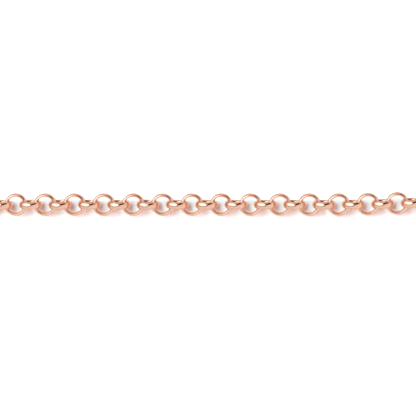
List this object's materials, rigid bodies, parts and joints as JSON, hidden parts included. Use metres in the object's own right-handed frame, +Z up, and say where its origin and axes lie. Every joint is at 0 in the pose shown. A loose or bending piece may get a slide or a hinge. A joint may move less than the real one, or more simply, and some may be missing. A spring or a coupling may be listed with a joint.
{
  "type": "chain necklace",
  "caption": "Rose-gold rolo chain necklace of round, dome-outside links that swing in one another, laid open and unfastened, with a lobster clasp and a catch ring.",
  "frame": {"origin": "the point under the middle link where the necklace rests on the table", "axes": "+X along the straight front of the chain, towards the end with the clasp; +Y towards the open side, where both ends lie; +Z up"},
  "size_m": [0.1922, 0.0967, 0.0052],
  "materials": {
    "rose_gold": "mirror-polished rose gold",
    "spring_steel": "drawn wire"
  },
  "bodies": {
    "link_middle": {"link_middle": "rose_gold"},
    "link_right_01": {"link_right_01": "rose_gold"},
    "link_right_02": {"link_right_02": "rose_gold"},
    "link_right_03": {"link_right_03": "rose_gold"},
    "link_right_04": {"link_right_04": "rose_gold"},
    "link_right_05": {"link_right_05": "rose_gold"},
    "link_right_06": {"link_right_06": "rose_gold"},
    "link_right_07": {"link_right_07": "rose_gold"},
    "link_right_08": {"link_right_08": "rose_gold"},
    "link_right_09": {"link_right_09": "rose_gold"},
    "link_right_10": {"link_right_10": "rose_gold"},
    "link_right_11": {"link_right_11": "rose_gold"},
    "link_right_12": {"link_right_12": "rose_gold"},
    "link_right_13": {"link_right_13": "rose_gold"},
    "link_right_14": {"link_right_14": "rose_gold"},
    "link_right_15": {"link_right_15": "rose_gold"},
    "chain_run_right_01": {"chain_run_right_01": "rose_gold"},
    "chain_run_right_02": {"chain_run_right_02": "rose_gold"},
    "chain_run_right_03": {"chain_run_right_03": "rose_gold"},
    "chain_run_right_04": {"chain_run_right_04": "rose_gold"},
    "chain_run_right_05": {"chain_run_right_05": "rose_gold"},
    "chain_run_right_06": {"chain_run_right_06": "rose_gold"},
    "chain_run_right_07": {"chain_run_right_07": "rose_gold"},
    "chain_run_right_08": {"chain_run_right_08": "rose_gold"},
    "chain_run_right_09": {"chain_run_right_09": "rose_gold"},
    "chain_run_right_10": {"chain_run_right_10": "rose_gold"},
    "link_left_01": {"link_left_01": "rose_gold"},
    "link_left_02": {"link_left_02": "rose_gold"},
    "link_left_03": {"link_left_03": "rose_gold"},
    "link_left_04": {"link_left_04": "rose_gold"},
    "link_left_05": {"link_left_05": "rose_gold"},
    "link_left_06": {"link_left_06": "rose_gold"},
    "link_left_07": {"link_left_07": "rose_gold"},
    "link_left_08": {"link_left_08": "rose_gold"},
    "link_left_09": {"link_left_09": "rose_gold"},
    "link_left_10": {"link_left_10": "rose_gold"},
    "link_left_11": {"link_left_11": "rose_gold"},
    "link_left_12": {"link_left_12": "rose_gold"},
    "link_left_13": {"link_left_13": "rose_gold"},
    "link_left_14": {"link_left_14": "rose_gold"},
    "link_left_15": {"link_left_15": "rose_gold"},
    "chain_run_left_01": {"chain_run_left_01": "rose_gold"},
    "chain_run_left_02": {"chain_run_left_02": "rose_gold"},
    "chain_run_left_03": {"chain_run_left_03": "rose_gold"},
    "chain_run_left_04": {"chain_run_left_04": "rose_gold"},
    "chain_run_left_05": {"chain_run_left_05": "rose_gold"},
    "chain_run_left_06": {"chain_run_left_06": "rose_gold"},
    "chain_run_left_07": {"chain_run_left_07": "rose_gold"},
    "chain_run_left_08": {"chain_run_left_08": "rose_gold"},
    "chain_run_left_09": {"chain_run_left_09": "rose_gold"},
    "chain_run_left_10": {"chain_run_left_10": "rose_gold"},
    "clasp_jump_ring": {"clasp_jump_ring": "rose_gold"},
    "clasp": {"clasp_body": "rose_gold", "clasp_pin": "rose_gold", "clasp_spring": "spring_steel"},
    "clasp_lever": {"clasp_lever": "rose_gold"},
    "end_jump_ring": {"end_jump_ring": "rose_gold"},
    "end_ring": {"end_ring": "rose_gold"}
  },
  "joints": [
    {"name": "lever_swing", "type": "hinge", "parent": "clasp", "child": "clasp_lever", "pos_m": [0.04342, 0.0895, 0.0014], "axis": [0, 0, -1], "range_deg": [0, 20], "stiffness_Nm_per_rad": 0.015, "springref_deg": -2.86},
    {"name": "clasp_swing", "type": "hinge", "parent": "clasp_jump_ring", "child": "clasp", "pos_m": [0.04791, 0.08955, 0.0016], "axis": [0, 0, 1], "range_deg": [-45, 45]},
    {"name": "clasp_ring_swing", "type": "hinge", "parent": "chain_run_right_10", "child": "clasp_jump_ring", "pos_m": [0.05063, 0.08929, 0.0026], "axis": [-0.0985, -0.9951, 0], "range_deg": [-25, 25]},
    {"name": "end_ring_swing", "type": "hinge", "parent": "end_jump_ring", "child": "end_ring", "pos_m": [-0.05278, 0.08892, 0.0016], "axis": [0, 0, 1], "range_deg": [-40, 40]},
    {"name": "end_jump_ring_swing", "type": "hinge", "parent": "chain_run_left_10", "child": "end_jump_ring", "pos_m": [-0.05665, 0.08832, 0.0026], "axis": [0, 0, 1], "range_deg": [-30, 30]},
    {"name": "swing_right_01", "type": "hinge", "parent": "link_middle", "child": "link_right_01", "pos_m": [0.00226, 0, 0.0026], "axis": [0, 0, 1], "range_deg": [-30, 30]},
    {"name": "swing_right_02", "type": "hinge", "parent": "link_right_01", "child": "link_right_02", "pos_m": [0.00558, 0, 0.0026], "axis": [0, 1, 0], "range_deg": [-30, 30]},
    {"name": "swing_right_03", "type": "hinge", "parent": "link_right_02", "child": "link_right_03", "pos_m": [0.00889, 0, 0.0026], "axis": [0, 0, -1], "range_deg": [-30, 30]},
    {"name": "swing_right_04", "type": "hinge", "parent": "link_right_03", "child": "link_right_04", "pos_m": [0.01221, 0, 0.0026], "axis": [0, -1, 0], "range_deg": [-30, 30]},
    {"name": "swing_right_05", "type": "hinge", "parent": "link_right_04", "child": "link_right_05", "pos_m": [0.01553, 0, 0.0026], "axis": [0, 0, -1], "range_deg": [-30, 30]},
    {"name": "swing_right_06", "type": "hinge", "parent": "link_right_05", "child": "link_right_06", "pos_m": [0.01885, 0, 0.0026], "axis": [0, -1, 0], "range_deg": [-30, 30]},
    {"name": "swing_right_07", "type": "hinge", "parent": "link_right_06", "child": "link_right_07", "pos_m": [0.02216, 0, 0.0026], "axis": [0, 0, 1], "range_deg": [-30, 30]},
    {"name": "swing_right_08", "type": "hinge", "parent": "link_right_07", "child": "link_right_08", "pos_m": [0.02548, 0, 0.0026], "axis": [0, 1, 0], "range_deg": [-30, 30]},
    {"name": "swing_right_09", "type": "hinge", "parent": "link_right_08", "child": "link_right_09", "pos_m": [0.0288, 0, 0.0026], "axis": [0, 0, 1], "range_deg": [-30, 30]},
    {"name": "swing_right_10", "type": "hinge", "parent": "link_right_09", "child": "link_right_10", "pos_m": [0.03211, 0.00003, 0.0026], "axis": [-0.0079, 1, 0], "range_deg": [-30, 30]},
    {"name": "swing_right_11", "type": "hinge", "parent": "link_right_10", "child": "link_right_11", "pos_m": [0.03543, 0.00008, 0.0026], "axis": [0, 0, -1], "range_deg": [-30, 30]},
    {"name": "swing_right_12", "type": "hinge", "parent": "link_right_11", "child": "link_right_12", "pos_m": [0.03875, 0.00016, 0.0026], "axis": [0.0236, -0.9997, 0], "range_deg": [-30, 30]},
    {"name": "swing_right_13", "type": "hinge", "parent": "link_right_12", "child": "link_right_13", "pos_m": [0.04206, 0.00026, 0.0026], "axis": [0, 0, -1], "range_deg": [-30, 30]},
    {"name": "swing_right_14", "type": "hinge", "parent": "link_right_13", "child": "link_right_14", "pos_m": [0.04537, 0.00039, 0.0026], "axis": [0.0393, -0.9992, 0], "range_deg": [-30, 30]},
    {"name": "swing_right_15", "type": "hinge", "parent": "link_right_14", "child": "link_right_15", "pos_m": [0.04869, 0.00055, 0.0026], "axis": [0, 0, 1], "range_deg": [-30, 30]},
    {"name": "run_swing_right_01", "type": "hinge", "parent": "link_right_15", "child": "chain_run_right_01", "pos_m": [0.052, 0.00073, 0.0026], "axis": [-0.055, 0.9985, 0], "range_deg": [-30, 30]},
    {"name": "run_swing_right_02", "type": "hinge", "parent": "chain_run_right_01", "child": "chain_run_right_02", "pos_m": [0.06374, 0.00339, 0.0026], "axis": [0, 0, 1], "range_deg": [-30, 30]},
    {"name": "run_swing_right_03", "type": "hinge", "parent": "chain_run_right_02", "child": "chain_run_right_03", "pos_m": [0.07618, 0.0107, 0.0026], "axis": [-0.6072, 0.7945, 0], "range_deg": [-30, 30]},
    {"name": "run_swing_right_04", "type": "hinge", "parent": "chain_run_right_03", "child": "chain_run_right_04", "pos_m": [0.08438, 0.01951, 0.0026], "axis": [0, 0, -1], "range_deg": [-30, 30]},
    {"name": "run_swing_right_05", "type": "hinge", "parent": "chain_run_right_04", "child": "chain_run_right_05", "pos_m": [0.09055, 0.03254, 0.0026], "axis": [0.949, -0.3152, 0], "range_deg": [-30, 30]},
    {"name": "run_swing_right_06", "type": "hinge", "parent": "chain_run_right_05", "child": "chain_run_right_06", "pos_m": [0.09238, 0.04444, 0.0026], "axis": [0, 0, -1], "range_deg": [-30, 30]},
    {"name": "run_swing_right_07", "type": "hinge", "parent": "chain_run_right_06", "child": "chain_run_right_07", "pos_m": [0.09014, 0.05869, 0.0026], "axis": [0.9619, 0.2735, 0], "range_deg": [-30, 30]},
    {"name": "run_swing_right_08", "type": "hinge", "parent": "chain_run_right_07", "child": "chain_run_right_08", "pos_m": [0.08496, 0.06956, 0.0026], "axis": [0, 0, 1], "range_deg": [-30, 30]},
    {"name": "run_swing_right_09", "type": "hinge", "parent": "chain_run_right_08", "child": "chain_run_right_09", "pos_m": [0.0751, 0.08007, 0.0026], "axis": [-0.6413, -0.7673, 0], "range_deg": [-30, 30]},
    {"name": "run_swing_right_10", "type": "hinge", "parent": "chain_run_right_09", "child": "chain_run_right_10", "pos_m": [0.0647, 0.08614, 0.0026], "axis": [0, 0, 1], "range_deg": [-30, 30]},
    {"name": "swing_left_01", "type": "hinge", "parent": "link_middle", "child": "link_left_01", "pos_m": [-0.00226, 0, 0.0026], "axis": [0, 0, 1], "range_deg": [-30, 30]},
    {"name": "swing_left_02", "type": "hinge", "parent": "link_left_01", "child": "link_left_02", "pos_m": [-0.00558, 0, 0.0026], "axis": [0, -1, 0], "range_deg": [-30, 30]},
    {"name": "swing_left_03", "type": "hinge", "parent": "link_left_02", "child": "link_left_03", "pos_m": [-0.00889, 0, 0.0026], "axis": [0, 0, -1], "range_deg": [-30, 30]},
    {"name": "swing_left_04", "type": "hinge", "parent": "link_left_03", "child": "link_left_04", "pos_m": [-0.01221, 0, 0.0026], "axis": [0, 1, 0], "range_deg": [-30, 30]},
    {"name": "swing_left_05", "type": "hinge", "parent": "link_left_04", "child": "link_left_05", "pos_m": [-0.01553, 0, 0.0026], "axis": [0, 0, -1], "range_deg": [-30, 30]},
    {"name": "swing_left_06", "type": "hinge", "parent": "link_left_05", "child": "link_left_06", "pos_m": [-0.01885, 0, 0.0026], "axis": [0, 1, 0], "range_deg": [-30, 30]},
    {"name": "swing_left_07", "type": "hinge", "parent": "link_left_06", "child": "link_left_07", "pos_m": [-0.02216, 0, 0.0026], "axis": [0, 0, 1], "range_deg": [-30, 30]},
    {"name": "swing_left_08", "type": "hinge", "parent": "link_left_07", "child": "link_left_08", "pos_m": [-0.02548, 0, 0.0026], "axis": [0, -1, 0], "range_deg": [-30, 30]},
    {"name": "swing_left_09", "type": "hinge", "parent": "link_left_08", "child": "link_left_09", "pos_m": [-0.0288, 0, 0.0026], "axis": [0, 0, 1], "range_deg": [-30, 30]},
    {"name": "swing_left_10", "type": "hinge", "parent": "link_left_09", "child": "link_left_10", "pos_m": [-0.03211, 0, 0.0026], "axis": [0, -1, 0], "range_deg": [-30, 30]},
    {"name": "swing_left_11", "type": "hinge", "parent": "link_left_10", "child": "link_left_11", "pos_m": [-0.03543, 0, 0.0026], "axis": [0, 0, -1], "range_deg": [-30, 30]},
    {"name": "swing_left_12", "type": "hinge", "parent": "link_left_11", "child": "link_left_12", "pos_m": [-0.03875, 0, 0.0026], "axis": [0, 1, 0], "range_deg": [-30, 30]},
    {"name": "swing_left_13", "type": "hinge", "parent": "link_left_12", "child": "link_left_13", "pos_m": [-0.04206, 0, 0.0026], "axis": [0, 0, -1], "range_deg": [-30, 30]},
    {"name": "swing_left_14", "type": "hinge", "parent": "link_left_13", "child": "link_left_14", "pos_m": [-0.04538, 0, 0.0026], "axis": [0, 1, 0], "range_deg": [-30, 30]},
    {"name": "swing_left_15", "type": "hinge", "parent": "link_left_14", "child": "link_left_15", "pos_m": [-0.0487, 0, 0.0026], "axis": [0, 0, 1], "range_deg": [-30, 30]},
    {"name": "run_swing_left_01", "type": "hinge", "parent": "link_left_15", "child": "chain_run_left_01", "pos_m": [-0.05201, 0, 0.0026], "axis": [0, -1, 0], "range_deg": [-30, 30]},
    {"name": "run_swing_left_02", "type": "hinge", "parent": "chain_run_left_01", "child": "chain_run_left_02", "pos_m": [-0.06389, 0.00202, 0.0026], "axis": [0, 0, 1], "range_deg": [-30, 30]},
    {"name": "run_swing_left_03", "type": "hinge", "parent": "chain_run_left_02", "child": "chain_run_left_03", "pos_m": [-0.0767, 0.00863, 0.0026], "axis": [-0.5627, -0.8267, 0], "range_deg": [-30, 30]},
    {"name": "run_swing_left_04", "type": "hinge", "parent": "chain_run_left_03", "child": "chain_run_left_04", "pos_m": [-0.08538, 0.01697, 0.0026], "axis": [0, 0, -1], "range_deg": [-30, 30]},
    {"name": "run_swing_left_05", "type": "hinge", "parent": "chain_run_left_04", "child": "chain_run_left_05", "pos_m": [-0.09225, 0.02965, 0.0026], "axis": [0.9303, 0.3668, 0], "range_deg": [-30, 30]},
    {"name": "run_swing_left_06", "type": "hinge", "parent": "chain_run_left_05", "child": "chain_run_left_06", "pos_m": [-0.09473, 0.04143, 0.0026], "axis": [0, 0, -1], "range_deg": [-30, 30]},
    {"name": "run_swing_left_07", "type": "hinge", "parent": "chain_run_left_06", "child": "chain_run_left_07", "pos_m": [-0.09329, 0.05577, 0.0026], "axis": [0.9755, -0.2202, 0], "range_deg": [-30, 30]},
    {"name": "run_swing_left_08", "type": "hinge", "parent": "chain_run_left_07", "child": "chain_run_left_08", "pos_m": [-0.08871, 0.06691, 0.0026], "axis": [0, 0, 1], "range_deg": [-30, 30]},
    {"name": "run_swing_left_09", "type": "hinge", "parent": "chain_run_left_08", "child": "chain_run_left_09", "pos_m": [-0.07944, 0.07795, 0.0026], "axis": [-0.6825, 0.7309, 0], "range_deg": [-30, 30]},
    {"name": "run_swing_left_10", "type": "hinge", "parent": "chain_run_left_09", "child": "chain_run_left_10", "pos_m": [-0.06938, 0.08458, 0.0026], "axis": [0, 0, 1], "range_deg": [-30, 30]}
  ]
}
